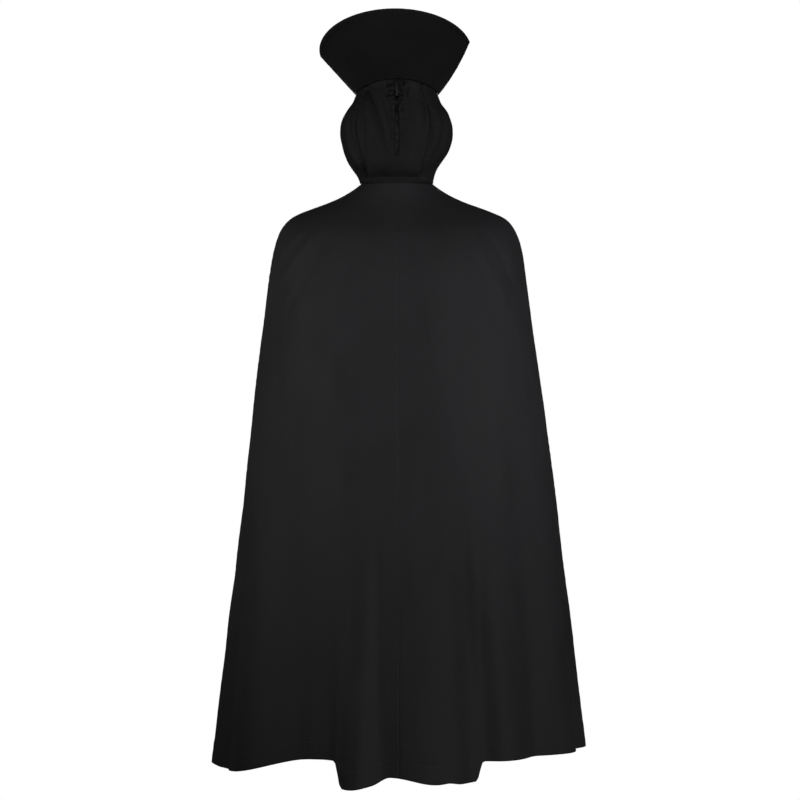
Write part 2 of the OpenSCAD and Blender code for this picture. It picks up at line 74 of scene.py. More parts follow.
def smooth(x):
    """A soft step from 0, where x is 0, to 1, where x is 1."""
    k = np.clip(x, 0, 1)
    return k * k * (3 - 2 * k)


def hill(x, at, spread):
    """A bump of height 1 where x is at, that dies away on both sides."""
    return np.exp(-(((x - at) / spread) ** 2))


def point(x, y, z):
    return np.stack(np.broadcast_arrays(x, y, z), -1).astype(float)


def unit(p):
    return p / np.maximum(np.linalg.norm(p, axis=-1, keepdims=True), 1e-9)


def oval(half_width, back, front, a):
    """x and y on an oval whose back and front halves have their own depths."""
    return half_width * sind(a), -np.where(cosd(a) > 0, back, front) * cosd(a)


def grid(us, vs):
    return np.meshgrid(np.asarray(us, float), np.asarray(vs, float), indexing="ij")


def joined(*runs):
    """Runs of values laid end to end, without repeating the value where two meet."""
    return np.concatenate([runs[0]] + [run[1:] for run in runs[1:]])


def outward(face, u, v, e=5e-4):
    """A face's outward normal."""
    du = face(u + e, v) - face(u - e, v)
    dv = face(u, v + e) - face(u, v - e)
    return unit(np.cross(dv, du))


def raised(face, relief):
    """The face with a height in millimetres, relief(u, v, p), added along its outward normal."""

    def result(u, v):
        u, v = np.broadcast_arrays(u, v)
        p = face(u, v)
        return p + outward(face, u, v) * relief(u, v, p)[..., None]

    return result


def sunk(face, depth):
    """The face moved inwards by a depth."""
    return lambda u, v: face(u, v) - outward(face, u, v) * depth


def on_side(p, side):
    """Points drawn on the right-hand side, carried to a side, or carried back from it."""
    return p * np.array([side, 1, 1])


def mirrored(face):
    return lambda u, v: on_side(face(u, v), LEFT)


class Ripple:
    """Smooth uneven waves over two coordinates, the same on each run.

    Each wave's length is between 0.7 and 1.7 times the one that is asked for.
    """

    def __init__(self, wavelength, waves=7):
        turn = random.uniform(0, 2 * math.pi, waves)
        size = 2 * math.pi / (wavelength * random.uniform(0.7, 1.7, waves))
        self.x, self.y = size * np.cos(turn), size * np.sin(turn)
        self.phase = random.uniform(0, 2 * math.pi, waves)

    def __call__(self, x, y):
        total = sum(np.sin(a * x + b * y + c) for a, b, c in zip(self.x, self.y, self.phase))
        return total / math.sqrt(len(self.phase))


def crease(p, start, end, spread, height):
    """A ridge, or a furrow if height is negative, along a line from start to end seen from the back."""
    start, end = np.array(start, float), np.array(end, float)
    along = end - start
    length = np.linalg.norm(along)
    along /= length
    x, z = p[..., 0] - start[0], p[..., 2] - start[1]
    t = (x * along[0] + z * along[1]) / length
    off = x * along[1] - z * along[0]
    fade_in, fade_out = smooth(t / 0.3 + 0.3), smooth((1 - t) / 0.45 + 0.2)
    return height * fade_in * fade_out * hill(off, 0, spread)


# ---------------------------------------------------------------- meshes


def lengths(p, axis):
    """How far each row of a grid of points lies along one axis, on average."""
    step = np.linalg.norm(np.diff(p, axis=axis), axis=-1)
    mean = step.mean(axis=1 - axis)
    return np.concatenate([[0], np.cumsum(mean)])


def make_object(name, verts, faces, uvs=None, material=None, smooth_shading=True):
    """A mesh object from points in millimetres."""
    mesh = bpy.data.meshes.new(name)
    mesh.from_pydata((np.asarray(verts) * MM).tolist(), [], [list(map(int, f)) for f in faces])
    if uvs is not None:
        layer = mesh.uv_layers.new(name="cloth")
        loops = np.empty(len(mesh.loops), int)
        mesh.loops.foreach_get("vertex_index", loops)
        layer.data.foreach_set("uv", np.asarray(uvs)[loops].astype(np.float32).ravel())
    if smooth_shading:
        mesh.polygons.foreach_set("use_smooth", [True] * len(mesh.polygons))
    mesh.update()
    piece = bpy.data.objects.new(name, mesh)
    bpy.context.scene.collection.objects.link(piece)
    if material:
        mesh.materials.append(material)
    return piece


def patch_mesh(name, patches, material, thickness=0.0):
    """One mesh of grids of points; thickness is laid inwards, behind them."""
    verts, faces, uvs, base = [], [], [], 0
    for p in patches:
        nu, nv = p.shape[:2]
        s, t = lengths(p, 0), lengths(p, 1)
        uv = np.stack(np.meshgrid(s, t, indexing="ij"), -1) * MM
        index = base + np.arange(nu * nv).reshape(nu, nv)
        quads = np.stack([index[:-1, :-1], index[:-1, 1:], index[1:, 1:], index[1:, :-1]], -1)
        verts.append(p.reshape(-1, 3))
        uvs.append(uv.reshape(-1, 2))
        faces.append(quads.reshape(-1, 4))
        base += nu * nv
    piece = make_object(name, np.concatenate(verts), np.concatenate(faces), np.concatenate(uvs), material)
    if thickness:
        solid = piece.modifiers.new("thickness", "SOLIDIFY")
        solid.thickness = thickness * MM
        solid.offset = -1
    return piece


def cloth(name, face, us, vs, material, thickness=0.8):
    """A sheet over the grid of us and vs on a face."""
    return patch_mesh(name, [face(*grid(us, vs))], material, thickness)


def tube(name, centres, radius, material, hint=(0, 0, 1), sides=10):
    """A closed tube along a row of points."""
    centres = np.asarray(centres, float)
    along = unit(np.gradient(centres, axis=0))
    across = unit(np.cross(along, np.array(hint, float)))
    up = np.cross(across, along)
    turn = 2 * np.pi * np.arange(sides) / sides
    ring = centres[:, None] + radius * (
        np.cos(turn)[None, :, None] * across[:, None] + np.sin(turn)[None, :, None] * up[:, None]
    )
    return ring_mesh(name, ring, material)


def ring_mesh(name, ring, material):
    """A closed solid through a row of outlines, ring[k, i]."""
    count, sides = ring.shape[:2]
    k, i = np.meshgrid(np.arange(count - 1), np.arange(sides), indexing="ij")
    j = (i + 1) % sides
    quads = np.stack([k * sides + i, k * sides + j, (k + 1) * sides + j, (k + 1) * sides + i], -1)
    faces = [list(q) for q in quads.reshape(-1, 4)]
    faces += [list(range(sides))[::-1], list(range((count - 1) * sides, count * sides))]
    return make_object(name, ring.reshape(-1, 3), faces, None, material)


# A stitch is a low ridge: corners 0 to 3 go round its foot, and 4 and 5 are the ends of its crest.
STITCH_FACES = ((0, 1, 4), (1, 5, 4), (1, 2, 5), (2, 3, 5), (3, 4, 5), (3, 0, 4), (0, 3, 2, 1))
STITCH_LIFT = 0.05         # how far a stitch's foot stands off the cloth
STITCH_CREST = 1.3         # its height in thread radii
CREST_ENDS = (0.2, 0.8)    # where its crest starts and ends


def between(rows, far, at):
    """Rows of a line, given at the distances far, worked out at other distances."""
    return np.stack([np.interp(at, far, rows[:, c]) for c in range(3)], -1)


def stitched(name, lines, material, pitch=4.2, length=2.9, radius=0.3):
    """Rows of short raised stitches; each line is a pair of point and normal rows."""
    verts, faces = [], []
    for points, normals in lines:
        far = np.concatenate([[0], np.cumsum(np.linalg.norm(np.diff(points, axis=0), axis=1))])
        at = np.arange(0.5 * pitch, far[-1] - pitch, pitch)
        starts, middles, ends = (between(points, far, at + step) for step in (0, length / 2, length))
        up = unit(between(normals, far, at))
        sides = unit(np.cross(unit(ends - starts), up)) * radius
        feet, crests = up * STITCH_LIFT, up * (radius * STITCH_CREST)
        for start, middle, end, side, foot, crest in zip(starts, middles, ends, sides, feet, crests):
            base = len(verts)
            verts += [start + foot, middle + side + foot, end + foot, middle - side + foot]
            verts += [lerp(start, end, k) + crest for k in CREST_ENDS]
            faces += [[base + corner for corner in face] for face in STITCH_FACES]
    return make_object(name, np.array(verts), faces, None, material)


# ---------------------------------------------------------------- materials


YARN_CELLS = (90, 2600)    # noise cells to a metre of cloth, along a yarn and across it
WEAVE_SHARE = 0.25         # how much of the colour's variation is the weave's
MOTTLE_SCALE = 7.0
CRUMPLE_SCALE = 38.0


def new_material(name):
    material = bpy.data.materials.new(name)
    material.use_nodes = True
    tree = material.node_tree
    shader = next(n for n in tree.nodes if n.type == "BSDF_PRINCIPLED")
    return material, tree, shader


def add_node(tree, kind, links=None, **values):
    """A new node with its inputs linked, and with its settings or other inputs given as values."""
    item = tree.nodes.new(kind)
    for key, value in values.items():
        if hasattr(item, key) and key not in item.inputs:
            setattr(item, key, value)
        else:
            item.inputs[key].default_value = value
    for key, socket in (links or {}).items():
        tree.links.new(socket, item.inputs[key])
    return item


def noise(tree, vector, scale, detail):
    return add_node(tree, "ShaderNodeTexNoise", {"Vector": vector}, Scale=scale, Detail=detail)


def bump(tree, height, strength, distance, under=None):
    """A relief of a height in metres, over the relief under it."""
    links = {"Height": height} if under is None else {"Height": height, "Normal": under}
    return add_node(tree, "ShaderNodeBump", links, Strength=strength, Distance=distance)


def ramp(tree, factor, low, high, at=(0.35, 0.65)):
    """Two tones or levels, low and high, blended where the factor runs over the range at."""
    item = add_node(tree, "ShaderNodeValToRGB", {"Fac": factor})
    for stop, place, value in zip(item.color_ramp.elements, at, (low, high)):
        stop.position = place
        stop.color = (*value, 1) if isinstance(value, tuple) else (value, value, value, 1)
    return item


def dress(tree, shader, colour, gloss, relief):
    """Joins a colour, a roughness and a relief to the shader."""
    tree.links.new(colour.outputs["Color"], shader.inputs["Base Color"])
    tree.links.new(gloss.outputs["Color"], shader.inputs["Roughness"])
    tree.links.new(relief.outputs["Normal"], shader.inputs["Normal"])


def fabric(name, dark, light, rough, specular, sheen=0.0, yarn=1.0, grain=0.25):
    """Woven cloth: streaks of warp and weft at yarn scale, soft mottling and small crumples."""
    material, tree, shader = new_material(name)
    coord = add_node(tree, "ShaderNodeTexCoord")
    threads = []
    for cells in (YARN_CELLS, YARN_CELLS[::-1]):
        stretch = add_node(tree, "ShaderNodeMapping", {"Vector": coord.outputs["UV"]})
        stretch.inputs["Scale"].default_value = (cells[0] / yarn, cells[1] / yarn, 1)
        threads.append(noise(tree, stretch.outputs["Vector"], 1.0, 2.0).outputs["Fac"])
    weave = add_node(tree, "ShaderNodeMath", {0: threads[0], 1: threads[1]}, operation="ADD")
    mottle = noise(tree, coord.outputs["Object"], MOTTLE_SCALE, 5.0)
    crumple = noise(tree, coord.outputs["Object"], CRUMPLE_SCALE, 5.0)
    tone = add_node(tree, "ShaderNodeMath", {0: weave.outputs[0]}, operation="MULTIPLY")
    tone.inputs[1].default_value = WEAVE_SHARE
    mixed = add_node(tree, "ShaderNodeMath", {0: tone.outputs[0], 1: mottle.outputs["Fac"]}, operation="ADD")
    colour = ramp(tree, mixed.outputs[0], dark, light, (0.55, 0.95))
    gloss = ramp(tree, mottle.outputs["Fac"], rough - 0.05, rough + 0.06)
    coarse = bump(tree, crumple.outputs["Fac"], 0.35, 0.0012)
    fine = bump(tree, weave.outputs[0], grain, 0.0002, coarse.outputs["Normal"])
    dress(tree, shader, colour, gloss, fine)
    shader.inputs["Specular IOR Level"].default_value = specular
    shader.inputs["Sheen Weight"].default_value = sheen
    shader.inputs["Sheen Roughness"].default_value = 0.45
    return material


def hard(name, dark, light, metallic, rough, scale=90.0, relief=0.1):
    """Metal or plastic with small scuffs and slight unevenness."""
    material, tree, shader = new_material(name)
    coord = add_node(tree, "ShaderNodeTexCoord")
    scuff = noise(tree, coord.outputs["Object"], scale, 6.0).outputs["Fac"]
    colour = ramp(tree, scuff, dark, light)
    gloss = ramp(tree, scuff, rough - 0.08, rough + 0.12)
    dress(tree, shader, colour, gloss, bump(tree, scuff, relief, 0.0002))
    shader.inputs["Metallic"].default_value = metallic
    return material


satin = fabric("satin", (0.0135, 0.0135, 0.0145), (0.018, 0.018, 0.0195), 0.7, 0.12)
# Painted shade: the cape's satin at a little over half its tone, so that the cowl, crown, piping, fan collar,
# neckband and tab look less lit.
satin_painted_shade = fabric("satin_painted_shade", (0.006, 0.006, 0.0063), (0.0092, 0.0092, 0.0096), 0.7, 0.1)
lining = fabric("lining", (0.012, 0.012, 0.013), (0.018, 0.018, 0.02), 0.82, 0.12, 0.05, 1.6, 0.5)
buckram = fabric("buckram", (0.01, 0.01, 0.011), (0.02, 0.02, 0.021), 0.85, 0.12, 0.0, 4.0, 0.8)
tape_cloth = fabric("tape_cloth", (0.009, 0.009, 0.01), (0.016, 0.016, 0.017), 0.75, 0.15, 0.05, 2.0, 0.9)
thread = hard("thread", (0.012, 0.012, 0.0135), (0.021, 0.021, 0.0235), 0.0, 0.62, 400.0, 0.3)
boning = hard("boning", (0.68, 0.68, 0.64), (0.8, 0.8, 0.76), 0.0, 0.45)
spring_wire = hard("spring_wire", (0.36, 0.36, 0.37), (0.52, 0.52, 0.53), 1.0, 0.32)
black_metal = hard("black_metal", (0.006, 0.006, 0.0065), (0.013, 0.013, 0.014), 0.3, 0.46, 300.0)


# ---------------------------------------------------------------- cape

NECK_R = 68.0
BAND_T = 1.2
SEAM_R = NECK_R + BAND_T + 1.2
NECK_EDGE_Z = -3.0
NECK_OPEN, CHEST_OPEN, HEM_OPEN = 174, 176, 166    # angles of the front edges
MEAN_OPEN = 170
SHOULDER = (240, 150, 135)    # half width, back depth and front depth
HEM = (352, 285, 235)
SHOULDER_SWAY, HEM_SWAY = 2, 5
CAPE_DROP = 1125
CORNER_SIDE_Z, CORNER_BACK_Z, CORNER_FRONT_Z = -84, -135, -150
ROUND_ABOVE, ROUND_BELOW = 42, 75
LINE_END, ROUND_END = 0.1, 0.3
SIDE_SEAM_U = 0.52
HINGE_U = 0.755
FACING_U = 0.07               # width of the front facing in u
HEM_FACING_V = 0.972
HEM_CENTRE = (-18.5, 24.5)    # angles between which the hem hangs lowest
SIDE_BELLY = 4                # how far the cloth bulges at the sides, between shoulder and hem
NECK_SCOOP = 46               # how far the line from neck to shoulder dips
LAYER = 1.0                   # depth of a facing below the outer face
FACING_T = 0.6
FALL = 1000                   # length of cloth for a step of 1 in v
FACING_END = 0.9985           # u and v where the facings end, just inside the edges
HEM_DEPTH = 33                # the hem's and the front edges' turnings, and how far they stand out
EDGE_DEPTH = 9
TURNING_STEP = 0.35

# Each fold: angle from the centre back, spread, height at the hem, v where it starts, lean.
FOLDS = [
    (-13.6, 5.2, 24, 0.42, -5), (-4.4, 3.6, -9, 0.5, -3), (8, 8, 11, 0.35, 0), (21.5, 3.4, 9, 0.62, 3),
    (26.8, 2.6, -7, 0.6, 3), (34, 7.5, 15, 0.32, 4), (-33.5, 6.5, -13, 0.42, -5), (-22.5, 4, -6, 0.6, -4),
    (-54, 9, 16, 0.3, -4), (47, 5, -9, 0.45, 4), (64, 8, 11, 0.32, 2), (77, 4.5, -8, 0.5, 2),
    (90, 8, 12, 0.34, 0), (-73, 5, -9, 0.45, 0), (-92, 9, 13, 0.32, 0), (105, 5, -10, 0.4, 2),
    (120, 8, 17, 0.32, 4), (-108, 5, -10, 0.42, 0), (-123, 8, 17, 0.34, -4), (134, 5, -12, 0.42, 5),
    (-137, 5, -12, 0.42, -4), (148, 7, 19, 0.4, 5), (-150, 7, 19, 0.4, -5), (159, 3.5, -7, 0.5, 4),
    (-160, 3.5, -7, 0.5, -4),
]

broad = Ripple(230)
drag = Ripple(75)
small = Ripple(24)
pucker = Ripple(13)


def hem_rise(a):
    """How far the hem rises above its lowest line, at an angle."""
    lifted = 8 * (smooth((a + 8) / 5) - smooth((a - 14) / 5))
    middle = lifted - 1 - 6 * cosd(14 * (a + 14.6))
    left_side = 42 - 46 * smooth((-a - 24) / 50) - 5 * hill(a, -50, 11)
    right_side = 39 - 14 * smooth((a - 30) / 90)
    to_left = smooth((HEM_CENTRE[0] + 1.5 - a) / 3)
    to_right = smooth((a - HEM_CENTRE[1] + 1.5) / 3)
    return lerp(lerp(middle, left_side, to_left), right_side, to_right)


def fold_out(a, v):
    """How far the folds stand out, growing from where each one starts down to the hem."""
    total = np.zeros(np.broadcast(a, v).shape)
    for at, spread, height, start, lean in FOLDS:
        grown = np.clip((v - start) / (1 - start), 0, 1) ** 1.5
        total += height * grown * hill(a, at + lean * (1 - v), spread * (1 + 0.5 * (1 - v)))
    return total


def cape_base(u, v):
    """A line off the neck, a rounded shoulder and a straight fall, as in the CAD, with its folds."""
    u, v = np.broadcast_arrays(u, v)
    n = point(*oval(SEAM_R, SEAM_R, SEAM_R, u * NECK_OPEN), NECK_EDGE_Z)
    a = u * CHEST_OPEN
    fall = np.where(cosd(a) > 0, CORNER_BACK_Z, CORNER_FRONT_Z) - CORNER_SIDE_Z
    x, y = oval(*SHOULDER, a)
    c = point(x + SHOULDER_SWAY, y, CORNER_SIDE_Z + fall * cosd(a) ** 2)
    a = u * HEM_OPEN
    x, y = oval(*HEM, a)
    h = point(x + HEM_SWAY, y, -CAPE_DROP + hem_rise(a))
    high = c + ROUND_ABOVE * unit(n - c)
    low = c + ROUND_BELOW * unit(h - c)
    v = v[..., None]
    k = (v - LINE_END) / (ROUND_END - LINE_END)
    line = lerp(n, high, v / LINE_END)
    curve = lerp(lerp(high, c, k), lerp(c, low, k), k)
    straight = lerp(low, h, (v - ROUND_END) / (1 - ROUND_END))
    p = np.where(v < LINE_END, line, np.where(v > ROUND_END, straight, curve))
    v = v[..., 0]
    fallen = np.clip((v - ROUND_END) / (1 - ROUND_END), 0, 1)
    out = fold_out(a, v) + SIDE_BELLY * np.sin(np.pi * fallen) * hill(np.abs(a), 90, 40)
    p[..., 0] += out * sind(a)
    p[..., 1] -= out * cosd(a)
    t = np.clip(v / LINE_END, 0, 1)
    p[..., 2] -= NECK_SCOOP * t * (1 - t) ** 2
    return p


# Each crease: x and z of its start and of its end, spread, and height or depth.
BACK_CREASES = [
    ((-96, -60), (-128, -560), 34, 5.0), ((-34, -120), (-60, -700), 26, -4.5),
    ((64, -120), (120, -760), 36, 4.5), ((-30, -640), (-34, -1130), 16, -4.0),
    ((-205, -560), (-214, -1120), 26, -4.0), ((158, -700), (196, -1110), 30, 5.0),
    ((-150, -100), (-238, -215), 9, 2.6), ((-128, -112), (-214, -262), 8, -2.0),
    ((-170, -92), (-246, -170), 7, 1.8), ((150, -118), (214, -256), 9, 2.4),
    ((176, -104), (238, -236), 8, -2.0), ((128, -128), (178, -300), 10, 1.6),
    ((-24, -60), (-60, -330), 11, 1.3), ((26, -70), (74, -380), 12, 1.3),
    ((-60, -360), (-96, -760), 16, 2.0), ((100, -420), (150, -820), 18, 2.2),
    ((-160, -420), (-186, -820), 17, 1.8), ((30, -480), (24, -880), 16, 1.5),
]
FRONT_CREASES = [
    ((-90, -90), (-200, -300), 12, 2.5), ((90, -90), (205, -310), 12, 2.5),
    ((-60, -150), (-120, -520), 14, 2.2), ((62, -150), (126, -540), 14, 2.2),
    ((-100, -420), (-190, -900), 18, 2.5), ((104, -430), (188, -910), 18, 2.5),
]


def seam_groove(distance, along, p):
    """A sewn seam: the edges turn in, and the cloth puckers beside it."""
    sewn = -0.7 * hill(distance, 0, 2.2)
    drawn = 0.45 * pucker(p[..., 0] * 0.15, along) * hill(distance, 0, 11)
    return sewn + drawn


def cape_relief(u, v, p):
    """Soft waves, creases, seams and the thickness of the turned hem and front edges."""
    x, y, z = p[..., 0], p[..., 1], p[..., 2]
    arc = np.radians(MEAN_OPEN) * np.hypot(x, y)    # length of cloth for a step of 1 in u
    around = u * arc
    lively = smooth((v - 0.02) / 0.2)
    total = lively * (1.5 * broad(around, z * 0.35) + 0.5 * drag(around, z * 0.45) + 0.16 * small(around, z))
    for lines, there in ((BACK_CREASES, y < 0), (FRONT_CREASES, y >= 0)):
        for line in lines:
            total += np.where(there, crease(p, *line), 0) * smooth(np.abs(y) / 60)
    total += seam_groove(np.abs(u) * arc, z, p)
    total += seam_groove((np.abs(u) - SIDE_SEAM_U) * arc, z, p)
    hem, edge = (1 - v) * FALL, (1 - np.abs(u)) * arc
    total += TURNING_STEP * smooth((HEM_DEPTH - hem) / 5) + 0.35 * small(around * 2, 0 * z) * hill(hem, 26, 9)
    total += 0.3 * smooth((EDGE_DEPTH - edge) / 3)
    return total


cape = raised(cape_base, cape_relief)

v_rows = joined(
    np.linspace(0, LINE_END, 24),
    np.linspace(LINE_END, ROUND_END, 26),
    np.linspace(ROUND_END, 0.96, 118),
    np.linspace(0.96, 1, 14),
)
u_back = joined(np.linspace(0, 0.012, 6), np.linspace(0.012, 0.49, 92), np.linspace(0.49, SIDE_SEAM_U, 10))
u_front = joined(np.linspace(SIDE_SEAM_U, 0.55, 10), np.linspace(0.55, 0.985, 84), np.linspace(0.985, 1, 7))


def with_side(values, side):
    """Values of u on one side, in the order in which u grows."""
    return values if side > 0 else -values[::-1]


def front_bend(side):
    """Where the front sheet starts and ends bending towards its swinging edge."""
    throat = cape_base(np.array(side * 1.0), np.array(LINE_END))
    hinge_foot = cape_base(np.array(side * HINGE_U), np.array(1.0))
    corner = cape_base(np.array(side * 1.0), np.array(1.0))
    line = unit((hinge_foot - throat) * [1, 0, 1])
    across = np.array([line[2], 0, -line[0]]) * side
    reach = float((corner - throat) @ across)
    return throat * MM, (throat + across * reach) * MM


def drawn_aside(piece, name):
    """Works out where the front sheet bends towards its swinging edge, but only bakes the piece's placement
    into its mesh.
    """
    start, end = front_bend(SIDES[name])
    tuple(start)
    tuple(end)
    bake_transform(piece)
    return piece


cape_pieces = {}
for name, side in SIDES.items():
    back = cloth(f"cape_back_{name}", cape, with_side(u_back, side), v_rows, satin)
    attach(back, "cape")
    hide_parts(f"back_panel_{name}")

    front = cloth(f"cape_front_{name}", cape, with_side(u_front, side), v_rows, satin)
    drawn_aside(front, name)
    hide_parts(f"front_panel_{name}", f"front_drop_{name}")

    inner = sunk(cape, LAYER)
    hem_vs = np.linspace(HEM_FACING_V, FACING_END, 8)
    band_us = with_side(np.linspace(0.002, HINGE_U - 0.004, 170), side)
    hem_band = cloth(f"hem_band_{name}", inner, band_us, hem_vs, lining, FACING_T)
    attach(hem_band, "cape")
    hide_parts(f"hem_facing_{name}")

    edge_us = with_side(np.linspace(1 - FACING_U, FACING_END, 12), side)
    hem_us = with_side(np.linspace(HINGE_U - 0.003, 1 - FACING_U, 44), side)
    strip = inner(*grid(edge_us, np.linspace(0.012, FACING_END, 200)))
    foot = inner(*grid(hem_us, hem_vs))
    edge_band = patch_mesh(f"front_band_{name}", [strip, foot], lining, FACING_T)
    drawn_aside(edge_band, name)
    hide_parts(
        f"chest_facing_{name}", f"front_facing_{name}", f"front_hem_facing_{name}"
    )
    cape_pieces[name] = (back, front, hem_band, edge_band)


def line_on(face, us, vs):
    """Points and normals along a line on a face."""
    us, vs = np.broadcast_arrays(np.asarray(us, float), np.asarray(vs, float))
    return face(us, vs), outward(face, us, vs)


HEM_STITCH_V, NECK_STITCH_V, EDGE_STITCH_U = 0.9755, 0.022, 0.9915

cape_stitches = {}
for name, side in SIDES.items():
    back_us = with_side(np.linspace(0.004, SIDE_SEAM_U - 0.004, 400), side)
    front_us = with_side(np.linspace(SIDE_SEAM_U + 0.004, 0.995, 400), side)
    back_lines = [line_on(cape, back_us, v) for v in (HEM_STITCH_V, NECK_STITCH_V)]
    front_lines = [
        line_on(cape, front_us, HEM_STITCH_V),
        line_on(cape, side * EDGE_STITCH_U, np.linspace(0.02, 0.995, 700)),
        line_on(cape, front_us, NECK_STITCH_V),
    ]
    back_sewn = stitched(f"stitches_back_{name}", back_lines, thread)
    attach(back_sewn, "cape")
    front_sewn = stitched(f"stitches_front_{name}", front_lines, thread)
    drawn_aside(front_sewn, name)
    cape_stitches[name] = (back_sewn, front_sewn)


# ---------------------------------------------------------------- neckband and tab

BAND_H = 30
BAND_OPEN = 175
TAB_R = NECK_R + BAND_T + 2.6      # the tab's inner and outer faces
TAB_OUT = TAB_R + 1
TAB_FROM, TAB_TO = 164, 204
TAB_ROUND = 6.2                    # angle over which the tab's end is rounded
TAB_BASE = (155.2, 162.4)
TAB_H, TAB_Z = 16, 6


def collar_strip(r, low, high):
    """A strip round the neck; u is an angle from the centre back, v from its top edge to its lower."""
    return lambda u, v: point(r * sind(u), -r * cosd(u), lerp(high, low, v))


band_face = raised(
    collar_strip(NECK_R + BAND_T, -BAND_H / 2, BAND_H / 2),
    lambda u, v, p: 0.12 * pucker(u * 1.2, p[..., 2]) - 0.5 * (np.abs(v - 0.5) > 0.49),
)
band_us = np.linspace(-BAND_OPEN, BAND_OPEN, 180)
band = cloth("neckband_cloth", band_face, band_us, np.linspace(0, 1, 14), satin_painted_shade, BAND_T)
tab_base_face = collar_strip(TAB_OUT, TAB_Z - TAB_H / 2, TAB_Z + TAB_H / 2)
tab_base = cloth("tab_base", tab_base_face, np.linspace(*TAB_BASE, 8), np.linspace(0, 1, 10), satin_painted_shade, 3.4)
for piece in (band, tab_base):
    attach(piece, "cape")
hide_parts("neckband")


def tab_face(u, v):
    """The tab with its rounded end."""
    end = np.clip((u - (TAB_TO - TAB_ROUND)) / TAB_ROUND, 0, 1)
    half = TAB_H / 2 * np.sqrt(np.maximum(1 - end**2, 0.02))
    z = TAB_Z + half * (1 - 2 * v)
    return point(TAB_OUT * sind(u), -TAB_OUT * cosd(u), z)


tab_us, tab_vs = np.linspace(TAB_FROM, TAB_TO, 46), np.linspace(0, 1, 12)
tab = cloth("neck_tab_cloth", tab_face, tab_us, tab_vs, satin_painted_shade, TAB_OUT - TAB_R)
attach(tab, "neck_tab")
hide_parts("neck_tab")
seam_us = np.linspace(TAB_FROM + 0.5, TAB_TO - 3, 80)
tab_lines = [line_on(tab_face, seam_us, v) for v in (0.13, 0.87)]
tab_stitches = stitched("stitches_tab", tab_lines, thread, 3, 2, 0.2)
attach(tab_stitches, "neck_tab")


# ---------------------------------------------------------------- cowl

FOOT_Z = 2
FOOT_R = NECK_R + BAND_T + 2.1
NAPE_H = 34
SEAM_Z, SEAM_RISE = 173, 16
COWL_HALF, COWL_TOP, COWL_BACK = 106, 79, 95
FULL_AT = 0.57                   # share of the height at which the cowl is fullest
SIDE_FROM = {LEFT: 50, RIGHT: 38}    # angles of the seams between the back and side panels
FACE_TOP, FACE_FOOT = 122, 148   # angles of the face opening's edge, at the brow and the throat
TURN_UP, TURN_DOWN = 1.6, 2.5    # the panels' edges, turned in past the seams above and below
ZIP_BOTTOM = 46
ZIP_SLOT = 5
CROWN_TOP = 250


def seam_height(a):
    return SEAM_Z + SEAM_RISE * cosd(a) ** 2


def cowl_width(z):
    k = np.clip((z - FOOT_Z) / (SEAM_Z - FOOT_Z), 0, 1)
    swell = math.log(0.5) / math.log(FULL_AT)
    extra = COWL_HALF - lerp(FOOT_R, COWL_TOP, FULL_AT)
    return lerp(FOOT_R, COWL_TOP, k) + extra * np.sin(np.pi * k**swell)


def cowl_at(a, z):
    depth = lerp(FOOT_R, COWL_BACK, smooth((z - FOOT_Z) / NAPE_H))
    return point(*oval(cowl_width(z), depth, depth, a), z)


def cowl_z(a, v):
    return lerp(seam_height(a) + TURN_UP, FOOT_Z - TURN_DOWN, v)


twist = Ripple(17)


def slot_edge(z):
    """Half of the opening over the zip, drawn together unevenly near its top."""
    plain = lerp(0, ZIP_SLOT, smooth((z - ZIP_BOTTOM + 4) / 8))
    return plain - smooth((z - 118) / 20) * (1.2 + 0.9 * twist(z, 0 * z))


def cowl_back_base(side):
    def base(u, v):
        z = cowl_z(0, v)
        a = lerp(np.degrees(np.arcsin(slot_edge(z) / cowl_width(z))), SIDE_FROM[side], u)
        return cowl_at(a, cowl_z(a, v))

    return base


def side_angle(side, u, v):
    face_edge_angle = lerp(FACE_TOP, FACE_FOOT, np.clip(v, 0, 1) ** 2)
    return lerp(SIDE_FROM[side], face_edge_angle, u)


def cowl_side_base(side):
    def base(u, v):
        a = side_angle(side, u, v)
        return cowl_at(a, cowl_z(a, v))

    return base


# The creases drawn on each back panel, written as the cape's creases are.
COWL_CREASES = {
    LEFT: [
        ((-54, 178), (-11, 42), 4.5, -4.0), ((-62, 170), (-26, 40), 8, 3.2), ((-34, 160), (-8, 70), 4, 1.6),
        ((-70, 150), (-62, 40), 5, -2.4), ((-66, 186), (-58, 164), 6, -4.0), ((-40, 96), (-44, 12), 7, -1.3),
    ],
    RIGHT: [
        ((16, 180), (24, 128), 5, -1.4), ((18, 110), (32, 60), 5, 1.5), ((48, 176), (54, 96), 4, -2.6),
        ((10, 96), (30, 30), 6, 1.6), ((44, 60), (64, 22), 7, 2.6), ((58, 26), (84, 12), 4, -2.2),
    ],
}
# The upright folds of each side panel: angle, spread, and height or depth.
SIDE_FOLDS = {
    LEFT: [(57, 3, -2.4), (66, 5, 2.4), (76, 5, -1.8), (88, 6, 1.6), (101, 7, 2.0)],
    RIGHT: [(47, 5, 2.0), (56, 4, -1.6), (66, 5, 1.8), (79, 5, -1.8), (93, 7, 2.2)],
}
LOWER_LEAN = {LEFT: 5, RIGHT: -3}    # how far each side panel stands out above the neck
SIDE_WIDTH = 110                     # width of a side panel
DEGREE_WIDTH = 1.65                  # width of a degree of the back panels, at their fullest
NAPE_ROLL = 4.5                      # the fold over the nape
NECK_TILT = 20                       # lean of the neck's axis, backwards
BROW_HOLLOW = 4                      # how far the side panels are drawn in under the fan


def panel_seam(total, distance, across, z):
    """Both panels turn in to the same line, and pucker beside it."""
    drawn = 0.5 * pucker(across, z * 1.3) * hill(distance, 0, 9) * smooth(distance / 3)
    return total * smooth(distance / 7) + drawn - 2.2 * hill(distance, 0, 3.5)


